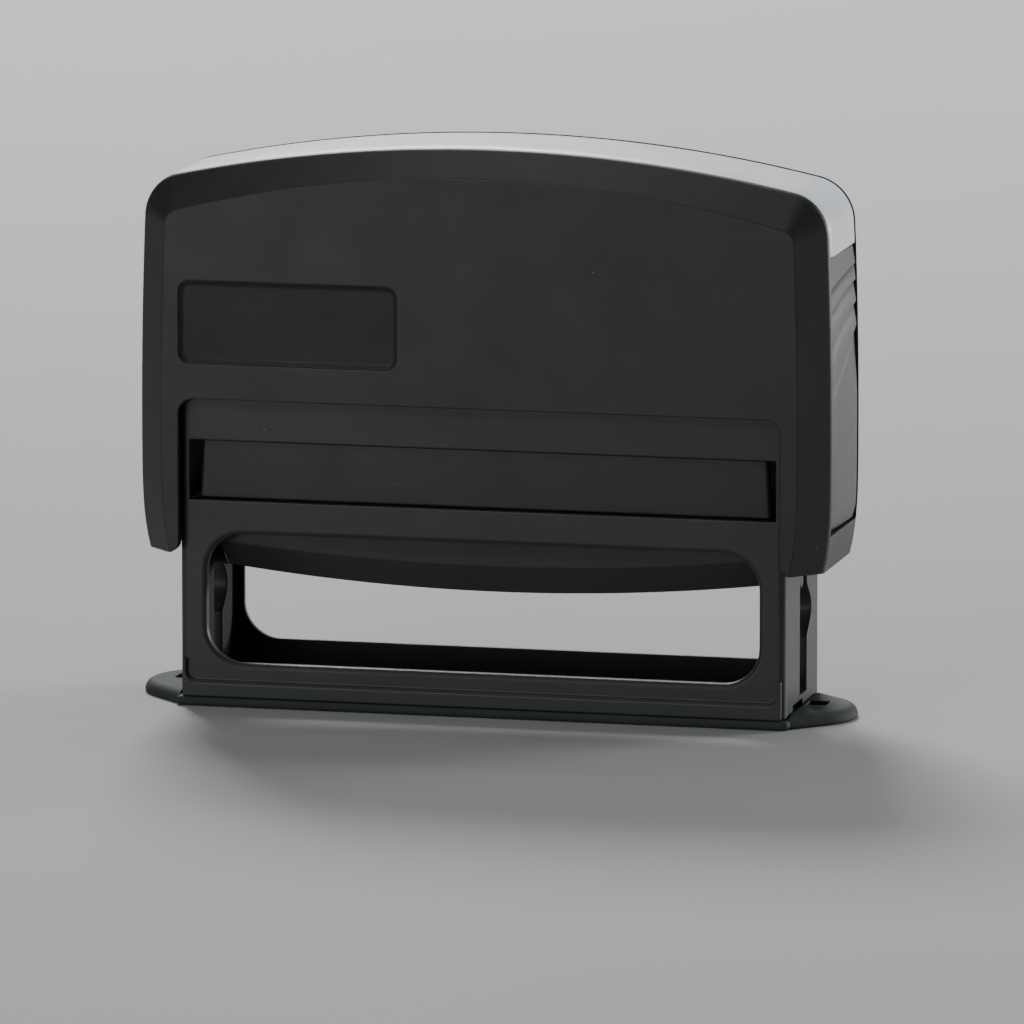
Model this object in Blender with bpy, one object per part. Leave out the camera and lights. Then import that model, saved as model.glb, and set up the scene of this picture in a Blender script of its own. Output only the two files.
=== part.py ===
"""Self inking stamp with a 10 x 70 mm text plate: cap, frame, turning carrier and sliding cartridge.

The origin is on the table, under the middle of the frame. +X runs along the text, -Y is the front and
+Z is up. Every length below is in millimetres. The stamp is at rest, with its springs holding the cap up.
"""

import math

import bmesh
import bpy
from mathutils import Vector

MM = 0.001
GAP = 0.3  # between pieces that touch

# Cap: the outline from the front is two leaning sides, two round shoulders and a wide arch.
CAP_BOTTOM = 20.3
CAP_TOP = 73.95
CAP_HALF_WIDTH = 45.9  # at the belly, where the sides stand furthest out
BELLY_Z = 37.0
FOOT_TUCK = 1.1  # how far the sides lean in from the belly to the foot
SHOULDER_HALF_WIDTH = 45.35
SHOULDER_RADIUS = 6.0
ARCH_RADIUS = 190.0
CAP_HALF_DEPTH = 12.3
RIM_HALF_DEPTH = 8.3  # the bevels start here, and the band between them is flat
BEVEL = 3.75  # how far the bevels draw the sides in
PANEL_TOP = 70.5  # the flat front and rear panels end in a rounder arch with tighter corners
PANEL_ARCH_RADIUS = 155.0
PANEL_CORNER = 3.0
WALL = 1.5
SIDE_WALL = 2.4  # with the covers let into it
HOLLOW_HALF_DEPTH = 8.66  # the bevels of the hollow start here
HOLLOW_BEVEL = 4.4
STROKE = 17.0
TOP_CLEARANCE = 0.4  # left between the pressed cap and the frame

# Covers let into the band around the cap.
COVER_THICK = 1.2
COVER_HALF_DEPTH = 7.6
COVER_LOW = 61.15
GRIP_LOW = 25.3

# Openings in the cap.
CUT_HALF_WIDTH = 39.9
FRONT_CUT_TOP = 40.6
REAR_CUT_TOP = 52.6  # clears the open cartridge while the cap is down
CUT_CORNER = 2.0
CUT_DEPTH = 9.8  # the openings are cut through everything beyond this distance from the middle
LABEL_X = (-39.8, -10.7)
LABEL_Z = (45.2, 56.1)
LABEL_DEPTH = 0.9
LABEL_THICK = 0.3

# Frame.
FRAME_HALF_WIDTH = 40.25
FRAME_HALF_DEPTH = 10.25
FRAME_WALL = 1.35
FRAME_LOW = 1.5
DECK_LOW = 35.3
DECK_HIGH = 36.8
WINDOW_HALF_WIDTH = 36.7
WINDOW_Z = (5.65, 22.65)
WINDOW_CORNER = 4.8
DRAWER_HALF_WIDTH = 38.95
DRAWER_Z = (27.05, 35.0)
RAIL_Z = (25.7, 26.9)
RAIL_X = 37.3
LINER_X = 38.05  # the side walls are thicker below the rails
SKIRT_HALF_WIDTH = 39.9
SKIRT_HALF_DEPTH = 10.95
SKIRT_TOP = 3.4
SKIRT_END_TOP = 6.2  # its ends rise in a small curve
SKIRT_END = 1.5  # the radius of that curve
SKIRT_LIP = 0.3

# Base plate.
PLATE_HALF_WIDTH = 40.75
PLATE_HALF_DEPTH = 11.2
PLATE_THICK = 1.2
EAR_THICK = 1.7
EAR_TIP = 47.5
EAR_NOSE_RADIUS = 8.0
EAR_HOLE_X = (40.9, 43.6)
EAR_HOLE_Y = (-0.9, 2.3)
PRINT_OPENING = (37.6, 8.4)

# Die carrier, which turns about an axle along X.
AXLE_Z = 22.05
PIN_RADIUS = 1.2
BORE_RADIUS = 1.5
BORE_DEPTH = 1.6
CARRIER_HALF_LENGTH = 36.0
CARRIER_HALF_WIDTH = 6.5
CARRIER_TOP = 1.6  # heights on the carrier are counted from the axle
KEEL_DEPTH = 7.05
KEEL_HALF_WIDTH = 1.8
KEEL_RADIUS = 280.0
SKIRT_DEPTH = 3.05
SKIRT_RADIUS = 300.0
CAVITY = (34.0, 4.9, 1.3)  # half length, half width and wall of the hollow under the cushion
HUB_RADIUS = 2.6
HUB_END = 37.75
LUG_ARM = 4.0
LUG_RADIUS = 1.1
CUSHION = (35.5, 5.3, 1.9, 3.0)  # half length, half width, bottom and top above the axle
DIE = (35.0, 5.0, 3.3, 4.95)

# Ink cartridge.
TRAY_Z = (27.3, 34.75)
TRAY_Y = (-8.7, 10.1)
TRAY_HALF_LENGTH = (38.2, 37.4)  # at the bottom and at the top
FELT_HALF_LENGTH = 36.0
FELT_HALF_WIDTH = 5.9
FELT_Z = (27.4, 32.0)
THUMB_NOTCH = (9.0, 2.15, 1.5)  # half length, half height and depth

# Yoke, springs and lock.
YOKE_INSET = 2.7
YOKE_HALF_DEPTH = 3.5
BRIDGE_INSET = 4.4
ARM_INNER = 40.7
ARM_LOW = 20.45
SPRING_X = 26.0
SPRING_RADIUS = 3.3
WIRE_RADIUS = 0.45
SPRING_TURNS = 8
POST_RADIUS = 2.3
POST_TOP = 45.0
BUTTON_Z = 61.5
BUTTON_HALF = (5.5, 2.7)
BUTTON_PROUD = 0.7
FLANGE_HALF = (6.8, 3.8)
FLANGE_Y = (9.3, 10.4)
LEAF = ((10.35, 68.4), (10.35, 67.3), (7.65, 66.0), (7.65, 58.0))  # Y and Z along the button's leaf spring
LEAF_HALF_WIDTH = 2.0
LEAF_THICK = 0.3

# Facets.
SIDE_STEPS = 8
CORNER_STEPS = 5
ARCH_STEPS = 9
ROUND = 20

ARCH_CENTRE_Z = CAP_TOP - ARCH_RADIUS
SHOULDER_X = SHOULDER_HALF_WIDTH - SHOULDER_RADIUS
SHOULDER_Z = ARCH_CENTRE_Z + math.sqrt((ARCH_RADIUS - SHOULDER_RADIUS) ** 2 - SHOULDER_X**2)


# Outlines -----------------------------------------------------------------------------------------


def steps(low, high, count):
    return [low + (high - low) * i / count for i in range(count + 1)]


def arc(centre, radius, start, end, count):
    """Points on a circle from the start angle to the end angle, both ends included."""
    x, y = centre
    return [(x + radius * math.cos(a), y + radius * math.sin(a)) for a in steps(start, end, count)]


def half_width(z):
    """Half the cap's width at height z: widest at the belly, less at the foot and at the shoulder."""
    if z < BELLY_Z:
        return CAP_HALF_WIDTH - FOOT_TUCK * ((BELLY_Z - z) / (BELLY_Z - CAP_BOTTOM)) ** 4
    tuck = CAP_HALF_WIDTH - SHOULDER_HALF_WIDTH
    return CAP_HALF_WIDTH - tuck * ((z - BELLY_Z) / (SHOULDER_Z - BELLY_Z)) ** 2


def arch(radius, half_span, lift=0.0):
    """A wide arch from +half_span to -half_span, concentric with the cap's top and moved by lift."""
    lean = math.asin(half_span / radius)
    centre = (0.0, ARCH_CENTRE_Z + lift)
    return arc(centre, radius, math.pi / 2 - lean, math.pi / 2 + lean, 2 * ARCH_STEPS)


def loaf(low, inset, top, arch_radius, corner):
    """Leaning sides drawn in by inset, round corners and an arch, from the right foot to the left foot."""
    centre_z = top - arch_radius
    corner_x = SHOULDER_HALF_WIDTH - inset - corner
    corner_z = centre_z + math.sqrt((arch_radius - corner) ** 2 - corner_x**2)
    rise = math.acos(corner_x / (arch_radius - corner))
    right = [(half_width(z) - inset, z) for z in steps(low, corner_z, SIDE_STEPS)]
    right += arc((corner_x, corner_z), corner, 0.0, rise, CORNER_STEPS)[1:-1]
    over = arc((0.0, centre_z), arch_radius, rise, math.pi - rise, 2 * ARCH_STEPS)
    return right + over + [(-x, z) for x, z in reversed(right)]


def dome(inset, low):
    """The cap's outline drawn in by the same inset all round."""
    return loaf(low, inset, CAP_TOP - inset, ARCH_RADIUS - inset, SHOULDER_RADIUS - inset)


def bevelled(share, low):
    """The cap's outline on its bevel, from the rim (0) to the flat panel (1)."""
    rim = (0.0, CAP_TOP, ARCH_RADIUS, SHOULDER_RADIUS)
    panel = (BEVEL, PANEL_TOP, PANEL_ARCH_RADIUS, PANEL_CORNER)
    return loaf(low, *(a + (b - a) * share for a, b in zip(rim, panel)))


def rounded(low, high, radius, corner_steps=6):
    """A rectangle between two corner points, with round corners."""
    quarter = math.pi / 2
    centres = [
        (high[0] - radius, high[1] - radius),
        (low[0] + radius, high[1] - radius),
        (low[0] + radius, low[1] + radius),
        (high[0] - radius, low[1] + radius),
    ]
    corners = [
        arc(centre, radius, i * quarter, (i + 1) * quarter, corner_steps) for i, centre in enumerate(centres)
    ]
    return [point for corner in corners for point in corner]


def rectangle(low, high):
    return [(low[0], low[1]), (high[0], low[1]), (high[0], high[1]), (low[0], high[1])]


def circle(centre, radius, count=ROUND):
    return arc(centre, radius, 0.0, 2 * math.pi, count)[:-1]


# Solids -------------------------------------------------------------------------------------------


def solid(name, points, faces):
    mesh = bpy.data.meshes.new(name)
    mesh.from_pydata([Vector(p) * MM for p in points], [], faces)
    bm = bmesh.new()
    bm.from_mesh(mesh)
    bmesh.ops.recalc_face_normals(bm, faces=bm.faces)
    bm.to_mesh(mesh)
    bm.free()
    item = bpy.data.objects.new(name, mesh)
    bpy.context.collection.objects.link(item)
    return item


def loft(name, rings):
    """A solid through rings of equally many points, closed by the first and the last."""
    count = len(rings[0])
    points = [p for ring in rings for p in ring]
    faces = [tuple(range(count)), tuple(range(len(points) - count, len(points)))]
    for start in range(0, len(points) - count, count):
        for i in range(count):
            j = (i + 1) % count
            faces.append((start + i, start + j, start + count + j, start + count + i))
    return solid(name, points, faces)


def layers_y(name, layers):
    """A solid through outlines of X and Z, each at its own Y."""
    return loft(name, [[(x, y, z) for x, z in outline] for y, outline in layers])


def prism_x(name, outline, low, high):
    return loft(name, [[(x, y, z) for y, z in outline] for x in (low, high)])


def prism_y(name, outline, low, high):
    return layers_y(name, [(low, outline), (high, outline)])


def prism_z(name, outline, low, high):
    return loft(name, [[(x, y, z) for x, y in outline] for z in (low, high)])


def box(name, x, y, z):
    return prism_z(name, rectangle((x[0], y[0]), (x[1], y[1])), *z)


def strip(name, outer, inner, low, high):
    """A bent plate between two paths of equally many points, from Y low to Y high."""
    rings = [
        [(o[0], low, o[1]), (o[0], high, o[1]), (i[0], high, i[1]), (i[0], low, i[1])]
        for o, i in zip(outer, inner)
    ]
    return loft(name, rings)


def combine(target, tool, operation):
    """Joins the tool to the target, or cuts it out, and removes it."""
    change = target.modifiers.new(operation.title(), "BOOLEAN")
    change.operation = operation
    change.object = tool
    graph = bpy.context.evaluated_depsgraph_get()
    result = bpy.data.meshes.new_from_object(target.evaluated_get(graph))
    target.modifiers.clear()
    target.data = result
    bpy.data.objects.remove(tool)


def cut(target, tool):
    combine(target, tool, "DIFFERENCE")


def fuse(target, tool):
    combine(target, tool, "UNION")


def coil(name, centre_x, low, high):
    """A helical compression spring about Z through centre_x, with its wire ends between low and high."""
    start, end = low + WIRE_RADIUS, high - WIRE_RADIUS
    per_turn, sides = 14, 6
    rings = []
    for i in range(SPRING_TURNS * per_turn + 1):
        share = i / (SPRING_TURNS * per_turn)
        turn = 2 * math.pi * SPRING_TURNS * share
        out = Vector((math.cos(turn), math.sin(turn), 0.0))
        middle = Vector((centre_x, 0.0, start + (end - start) * share)) + out * SPRING_RADIUS
        rings.append(
            [
                tuple(middle + WIRE_RADIUS * (out * math.cos(a) + Vector((0.0, 0.0, math.sin(a)))))
                for a in (2 * math.pi * side / sides for side in range(sides))
            ]
        )
    return loft(name, rings)


# Materials ----------------------------------------------------------------------------------------


def material(name, colour, roughness, metallic=0.0):
    made = bpy.data.materials.new(name)
    made.use_nodes = True
    shader = made.node_tree.nodes["Principled BSDF"]
    shader.inputs["Base Color"].default_value = (*colour, 1.0)
    shader.inputs["Roughness"].default_value = roughness
    shader.inputs["Metallic"].default_value = metallic
    return made


def finish(item, made, smooth_angle=35.0):
    item.data.materials.clear()
    item.data.materials.append(made)
    item.data.shade_smooth()
    item.data.set_sharp_from_angle(angle=math.radians(smooth_angle))


# Sub-parts on the frame ---------------------------------------------------------------------------


def make_frame():
    plan = rounded((-FRAME_HALF_WIDTH, -FRAME_HALF_DEPTH), (FRAME_HALF_WIDTH, FRAME_HALF_DEPTH), 1.0, 3)
    frame = prism_z("frame", plan, FRAME_LOW, CAP_TOP - STROKE)
    top = arch(ARCH_RADIUS - BRIDGE_INSET, FRAME_HALF_WIDTH + 5.0, lift=-STROKE - TOP_CLEARANCE)
    cut(frame, prism_y("top_cutter", top + [(top[-1][0], CAP_TOP), (top[0][0], CAP_TOP)], -15.0, 15.0))
    inner_x, inner_y = FRAME_HALF_WIDTH - FRAME_WALL, FRAME_HALF_DEPTH - FRAME_WALL
    cut(frame, box("carrier_room", (-LINER_X, LINER_X), (-inner_y, inner_y), (0.0, RAIL_Z[1])))
    cut(frame, box("cartridge_room", (-inner_x, inner_x), (-inner_y, inner_y), (sum(RAIL_Z) / 2, DECK_LOW)))
    cut(frame, box("room_above", (-inner_x, inner_x), (-inner_y, inner_y), (DECK_HIGH, CAP_TOP)))
    for side in (-1, 1):
        x = sorted((side * RAIL_X, side * (inner_x + 0.5)))
        fuse(frame, box("rail", x, (-inner_y - 0.5, inner_y + 0.5), RAIL_Z))
        fuse(frame, prism_y("skirt", skirt_outline(), *sorted((side * inner_y, side * SKIRT_HALF_DEPTH))))
        post = circle((side * SPRING_X, 0.0), POST_RADIUS)
        fuse(frame, prism_z("post", post, DECK_HIGH - 0.5, POST_TOP))
        x = sorted((side * (LINER_X - 1.0), side * (FRAME_HALF_WIDTH + 1.0)))
        cut(frame, prism_x("slot", axle_slot(), *x))
    window = rounded((-WINDOW_HALF_WIDTH, WINDOW_Z[0]), (WINDOW_HALF_WIDTH, WINDOW_Z[1]), WINDOW_CORNER)
    cut(frame, prism_y("window", window, -15.0, 15.0))
    drawer = rectangle((-DRAWER_HALF_WIDTH, DRAWER_Z[0]), (DRAWER_HALF_WIDTH, DRAWER_Z[1]))
    cut(frame, prism_y("drawer", drawer, -15.0, 15.0))
    notch = FLANGE_HALF[0] + 0.5
    low = BUTTON_Z - FLANGE_HALF[1] - STROKE - 2 * GAP
    cut(frame, box("lock_notch", (-notch, notch), (inner_y - 1.0, 12.0), (low, CAP_TOP)))
    return frame


def skirt_outline():
    """The skirt from the front: a low band whose ends curve up."""
    corner = SKIRT_HALF_WIDTH - SKIRT_LIP, SKIRT_TOP + SKIRT_END
    right = [(SKIRT_HALF_WIDTH, FRAME_LOW), (SKIRT_HALF_WIDTH, SKIRT_END_TOP), (corner[0], SKIRT_END_TOP)]
    right += arc((corner[0] - SKIRT_END, corner[1]), SKIRT_END, 0.0, -math.pi / 2, 4)
    return right + [(-x, z) for x, z in reversed(right)]


def axle_slot():
    """The axle's slot in a side wall, with a pocket behind it where the carrier's lug swings round."""
    front, back = -PIN_RADIUS - GAP, 2.7
    low, high = AXLE_Z - STROKE - PIN_RADIUS - 0.9, AXLE_Z + PIN_RADIUS + 0.5
    turn = range(15, 170, 15)
    pocket = []
    for degrees in turn:
        a = math.radians(degrees)
        y = LUG_ARM * math.sin(a)
        z = AXLE_Z - STROKE * a / math.pi - LUG_ARM * math.cos(a)
        tangent = Vector((LUG_ARM * math.cos(a), LUG_ARM * math.sin(a) - STROKE / math.pi)).normalized()
        reach = LUG_RADIUS + 0.4
        pocket.append((y - tangent.y * reach, z + tangent.x * reach))
    pocket = [p for p in pocket if p[0] > back]
    return [(back, low), (back, pocket[-1][1] - 0.4), *reversed(pocket), (back, pocket[0][1] + 0.4)] + [
        (back, high),
        (front, high),
        (front, low),
    ]


def ear_outline(side):
    """One ear of the base plate: straight flanks that taper to a round nose."""
    centre = EAR_TIP - EAR_NOSE_RADIUS
    root_x, root_y = PLATE_HALF_WIDTH, FRAME_HALF_DEPTH
    reach = math.hypot(root_x - centre, root_y)
    flank = math.atan2(root_y, root_x - centre) - math.acos(EAR_NOSE_RADIUS / reach)
    nose = arc((centre, 0.0), EAR_NOSE_RADIUS, -flank, flank, 10)
    inner_x = FRAME_HALF_WIDTH + GAP
    outline = [(inner_x, -root_y), (root_x, -root_y), *nose, (root_x, root_y), (inner_x, root_y)]
    return [(side * x, y) for x, y in outline]


def make_base_plate():
    plan = rounded((-PLATE_HALF_WIDTH, -PLATE_HALF_DEPTH), (PLATE_HALF_WIDTH, PLATE_HALF_DEPTH), 0.8, 3)
    plate = prism_z("base_plate", plan, 0.0, PLATE_THICK)
    for side in (-1, 1):
        fuse(plate, prism_z("ear", ear_outline(side), 0.0, EAR_THICK))
        x = sorted(side * x for x in EAR_HOLE_X)
        cut(plate, box("ear_hole", x, EAR_HOLE_Y, (-1.0, 3.0)))
    x, y = PRINT_OPENING
    cut(plate, box("print_opening", (-x, x), (-y, y), (-1.0, 3.0)))
    return plate


def make_spring(side):
    high = ARCH_CENTRE_Z + math.sqrt((ARCH_RADIUS - BRIDGE_INSET) ** 2 - (SPRING_X + SPRING_RADIUS) ** 2)
    name = "return_spring_right" if side > 0 else "return_spring_left"
    return coil(name, side * SPRING_X, DECK_HIGH + GAP, high - 0.5)


# Sub-parts on the cap -----------------------------------------------------------------------------


def make_cap_shell():
    outside = [(-CAP_HALF_DEPTH, 1.0), (-RIM_HALF_DEPTH, 0.0), (RIM_HALF_DEPTH, 0.0), (CAP_HALF_DEPTH, 1.0)]
    panel = CAP_HALF_DEPTH - WALL
    inside = [
        (-panel, HOLLOW_BEVEL),
        (-HOLLOW_HALF_DEPTH, SIDE_WALL),
        (HOLLOW_HALF_DEPTH, SIDE_WALL),
        (panel, HOLLOW_BEVEL),
    ]
    shell = layers_y("cap_shell", [(y, bevelled(share, CAP_BOTTOM)) for y, share in outside])
    cut(shell, layers_y("hollow", [(y, dome(inset, CAP_BOTTOM - 1.0)) for y, inset in inside]))
    depth = COVER_HALF_DEPTH + GAP
    low = GRIP_LOW - GAP
    cut(shell, strip("channel", dome(-1.0, low), dome(COVER_THICK + GAP, low), -depth, depth))
    low = CAP_BOTTOM - 5.0
    for top, y in ((FRONT_CUT_TOP, (-15.0, -CUT_DEPTH)), (REAR_CUT_TOP, (CUT_DEPTH, 15.0))):
        opening = rounded((-CUT_HALF_WIDTH, low), (CUT_HALF_WIDTH, top), CUT_CORNER, 4)
        cut(shell, prism_y("opening", opening, *y))
    floor = -CAP_HALF_DEPTH + LABEL_DEPTH
    label = rounded((LABEL_X[0], LABEL_Z[0]), (LABEL_X[1], LABEL_Z[1]), 1.5, 4)
    cut(shell, prism_y("label_recess", label, -15.0, floor))
    half_x, half_z = BUTTON_HALF[0] + GAP, BUTTON_HALF[1] + GAP
    hole = rounded((-half_x, BUTTON_Z - half_z), (half_x, BUTTON_Z + half_z), 1.3, 4)
    cut(shell, prism_y("button_hole", hole, CUT_DEPTH, 15.0))
    return shell


def make_top_cover():
    return strip(
        "top_cover", dome(0.0, COVER_LOW), dome(COVER_THICK, COVER_LOW), -COVER_HALF_DEPTH, COVER_HALF_DEPTH
    )


def make_side_grip(side):
    heights = steps(GRIP_LOW, COVER_LOW - GAP, 10)
    outer = [(side * half_width(z), z) for z in heights]
    inner = [(side * (half_width(z) - COVER_THICK), z) for z in heights]
    name = "side_grip_right" if side > 0 else "side_grip_left"
    return strip(name, outer, inner, -COVER_HALF_DEPTH, COVER_HALF_DEPTH)


def make_front_label():
    low = (LABEL_X[0] + GAP, LABEL_Z[0] + GAP)
    high = (LABEL_X[1] - GAP, LABEL_Z[1] - GAP)
    back = -CAP_HALF_DEPTH + LABEL_DEPTH - GAP
    return prism_y("front_label", rounded(low, high, 1.2, 4), back - LABEL_THICK, back)


def make_drive_yoke():
    yoke = prism_y("drive_yoke", dome(YOKE_INSET, ARM_LOW), -YOKE_HALF_DEPTH, YOKE_HALF_DEPTH)
    top = arch(ARCH_RADIUS - BRIDGE_INSET, ARM_INNER)
    low = ARM_LOW - 2.0
    cut(yoke, prism_y("yoke_room", top + [(-ARM_INNER, low), (ARM_INNER, low)], -10.0, 10.0))
    for side in (-1, 1):
        x = sorted((side * (ARM_INNER - 1.0), side * CAP_HALF_WIDTH))
        cut(yoke, prism_x("pin_hole", circle((0.0, AXLE_Z), BORE_RADIUS), *x))
    return yoke


def make_axle_pin(side):
    name = "axle_pin_right" if side > 0 else "axle_pin_left"
    low, high = sorted((side * (HUB_END - BORE_DEPTH + GAP), side * (ARM_INNER + 1.5)))
    return prism_x(name, circle((0.0, AXLE_Z), PIN_RADIUS), low, high)


def make_button_spring():
    half = LEAF_THICK / 2
    outline = [(y + half, z) for y, z in LEAF] + [(y - half, z) for y, z in reversed(LEAF)]
    return prism_x("button_spring", outline, -LEAF_HALF_WIDTH, LEAF_HALF_WIDTH)


# Die carrier --------------------------------------------------------------------------------------


def carrier_heights(x):
    """The heights of the keel and of the skirt at x: both curve up towards the carrier's ends."""
    keel = AXLE_Z - KEEL_DEPTH + x * x / (2 * KEEL_RADIUS)
    skirt = AXLE_Z - SKIRT_DEPTH + x * x / (2 * SKIRT_RADIUS)
    return keel, skirt


def mirrored_y(x, half):
    """One section across the carrier, from the points of its +Y half."""
    return [(x, y, z) for y, z in half] + [(x, -y, z) for y, z in reversed(half)]


def make_die_carrier():
    top = AXLE_Z + CARRIER_TOP
    rings = []
    for x in steps(-CARRIER_HALF_LENGTH, CARRIER_HALF_LENGTH, 16):
        keel, skirt = carrier_heights(x)
        half = [(CARRIER_HALF_WIDTH, top), (CARRIER_HALF_WIDTH, skirt), (KEEL_HALF_WIDTH, keel)]
        rings.append(mirrored_y(x, half))
    carrier = loft("die_carrier", rings)
    length, width, wall = CAVITY
    rings = []
    for x in steps(-length, length, 12):
        keel, skirt = carrier_heights(x)
        half = [(width, top + 1.0), (width, skirt + wall), (KEEL_HALF_WIDTH / 2, keel + wall)]
        rings.append(mirrored_y(x, half))
    cut(carrier, loft("cavity", rings))
    for side in (-1, 1):
        low, high = sorted((side * (CARRIER_HALF_LENGTH - 0.2), side * HUB_END))
        fuse(carrier, prism_x("hub", circle((0.0, AXLE_Z), HUB_RADIUS), low, high))
        low, high = sorted((side * (HUB_END - BORE_DEPTH), side * (HUB_END + 1.0)))
        cut(carrier, prism_x("bore", circle((0.0, AXLE_Z), BORE_RADIUS), low, high))
        low, high = sorted((side * (CARRIER_HALF_LENGTH - 1.0), side * (FRAME_HALF_WIDTH - 0.1)))
        fuse(carrier, prism_x("lug", circle((0.0, AXLE_Z - LUG_ARM), LUG_RADIUS, 14), low, high))
    return carrier


def make_layer(name, size):
    """A flat layer on the carrier, from its half length, half width, bottom and top above the axle."""
    length, width, low, high = size
    return prism_z(name, rounded((-length, -width), (length, width), 0.6, 3), AXLE_Z + low, AXLE_Z + high)


# Ink cartridge ------------------------------------------------------------------------------------


def make_pad_tray():
    rings = []
    for z, half in zip(TRAY_Z, TRAY_HALF_LENGTH):
        rings.append([(x, y, z) for x, y in rectangle((-half, TRAY_Y[0]), (half, TRAY_Y[1]))])
    tray = loft("pad_tray", rings)
    x, y = FELT_HALF_LENGTH + GAP, FELT_HALF_WIDTH + GAP
    cut(tray, box("well", (-x, x), (-y, y), (TRAY_Z[0] - 1.0, FELT_Z[1] + GAP)))
    half_x, half_z, depth = THUMB_NOTCH
    middle = sum(TRAY_Z) / 2
    notch = rectangle((-half_x, middle - half_z), (half_x, middle + half_z))
    cut(tray, prism_y("thumb_notch", notch, TRAY_Y[1] - depth, TRAY_Y[1] + 1.0))
    return tray


def make_ink_felt():
    plan = rounded((-FELT_HALF_LENGTH, -FELT_HALF_WIDTH), (FELT_HALF_LENGTH, FELT_HALF_WIDTH), 0.6, 3)
    return prism_z("ink_felt", plan, *FELT_Z)


# Lock button --------------------------------------------------------------------------------------


def make_lock_button():
    half_x, half_z = BUTTON_HALF
    pad = rounded((-half_x, BUTTON_Z - half_z), (half_x, BUTTON_Z + half_z), 1.0, 4)
    button = prism_y("lock_button", pad, FLANGE_Y[1] - 0.4, CAP_HALF_DEPTH + BUTTON_PROUD)
    half_x, half_z = FLANGE_HALF
    flange = rectangle((-half_x, BUTTON_Z - half_z), (half_x, BUTTON_Z + half_z))
    fuse(button, prism_y("flange", flange, *FLANGE_Y))
    return button


# Assembly -----------------------------------------------------------------------------------------


def place_on_joint(item, joint):
    """Moves an object's origin to its joint without moving its shape."""
    offset = Vector(joint) * MM
    for vertex in item.data.vertices:
        vertex.co -= offset
    item.location = offset


def main():
    for item in list(bpy.data.objects):
        bpy.data.objects.remove(item)

    black = material("black_plastic", (0.027, 0.03, 0.03), 0.42)
    silver = material("silver_plastic", (0.47, 0.5, 0.54), 0.34)
    grey = material("grey_plastic", (0.16, 0.18, 0.2), 0.25)
    label = material("label_film", (0.012, 0.012, 0.013), 0.2)
    tray = material("tray_plastic", (0.022, 0.025, 0.026), 0.35)
    steel = material("spring_steel", (0.55, 0.56, 0.58), 0.25, 1.0)
    felt = material("ink_felt", (0.02, 0.02, 0.03), 0.95)
    foam = material("die_foam", (0.2, 0.2, 0.21), 0.9)
    rubber = material("die_rubber", (0.1, 0.1, 0.105), 0.7)

    finish(make_frame(), black)
    finish(make_base_plate(), black)
    finish(make_cap_shell(), black)
    finish(make_top_cover(), silver)
    finish(make_front_label(), label)
    finish(make_drive_yoke(), grey)
    finish(make_button_spring(), steel)
    for side in (-1, 1):
        finish(make_spring(side), steel)
        finish(make_side_grip(side), grey)
        finish(make_axle_pin(side), steel)

    axle = (0.0, 0.0, AXLE_Z)
    for item, made in (
        (make_die_carrier(), grey),
        (make_layer("die_cushion", CUSHION), foam),
        (make_layer("rubber_die", DIE), rubber),
    ):
        place_on_joint(item, axle)
        finish(item, made)

    finish(make_pad_tray(), tray)
    finish(make_ink_felt(), felt)
    finish(make_lock_button(), grey)


main()
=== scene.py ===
"""Looks of a self inking stamp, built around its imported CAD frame.

Lengths are in millimetres unless a name says otherwise.
"""

import math

import bmesh
import bpy
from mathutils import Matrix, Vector


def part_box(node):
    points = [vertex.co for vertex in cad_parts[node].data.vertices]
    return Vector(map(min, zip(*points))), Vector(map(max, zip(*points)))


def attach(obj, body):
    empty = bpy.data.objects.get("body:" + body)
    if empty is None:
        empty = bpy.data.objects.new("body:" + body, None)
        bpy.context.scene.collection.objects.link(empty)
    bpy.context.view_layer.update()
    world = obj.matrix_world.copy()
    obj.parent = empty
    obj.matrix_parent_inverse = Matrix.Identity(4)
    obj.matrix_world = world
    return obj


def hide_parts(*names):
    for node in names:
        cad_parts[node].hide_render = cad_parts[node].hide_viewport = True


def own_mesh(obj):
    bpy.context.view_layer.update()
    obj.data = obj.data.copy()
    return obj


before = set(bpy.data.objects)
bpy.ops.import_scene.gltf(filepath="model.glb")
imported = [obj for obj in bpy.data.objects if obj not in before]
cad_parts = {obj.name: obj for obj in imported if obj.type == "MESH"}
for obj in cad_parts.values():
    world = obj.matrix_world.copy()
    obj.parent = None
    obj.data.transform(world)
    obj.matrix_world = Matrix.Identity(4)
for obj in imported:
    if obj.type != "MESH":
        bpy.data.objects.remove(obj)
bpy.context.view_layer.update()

MM = 0.001
GAP = 0.3
OUTSIDE = 15.0  # further out than the stamp's front and rear, where cutting tools begin and end


def extent(node):
    low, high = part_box(node)
    return low / MM, high / MM


CAP_LOW, CAP_HIGH = extent("cap_shell")
COVER_LOW_CORNER, COVER_HIGH_CORNER = extent("top_cover")
GRIP_LOW_CORNER, GRIP_HIGH_CORNER = extent("side_grip_right")
FRAME_LOW_CORNER, FRAME_HIGH_CORNER = extent("frame")
_, PLATE_HIGH_CORNER = extent("base_plate")
TRAY_LOW, TRAY_HIGH = extent("pad_tray")
FELT_LOW, FELT_HIGH = extent("ink_felt")
LABEL_LOW, LABEL_HIGH = extent("front_label")
DIE_LOW, DIE_HIGH = extent("rubber_die")
FOAM_LOW, FOAM_HIGH = extent("die_cushion")
PIN_LOW, PIN_HIGH = extent("axle_pin_right")
SPRING_LOW, SPRING_HIGH = extent("return_spring_right")
BUTTON_LOW, BUTTON_HIGH = extent("lock_button")

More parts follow.
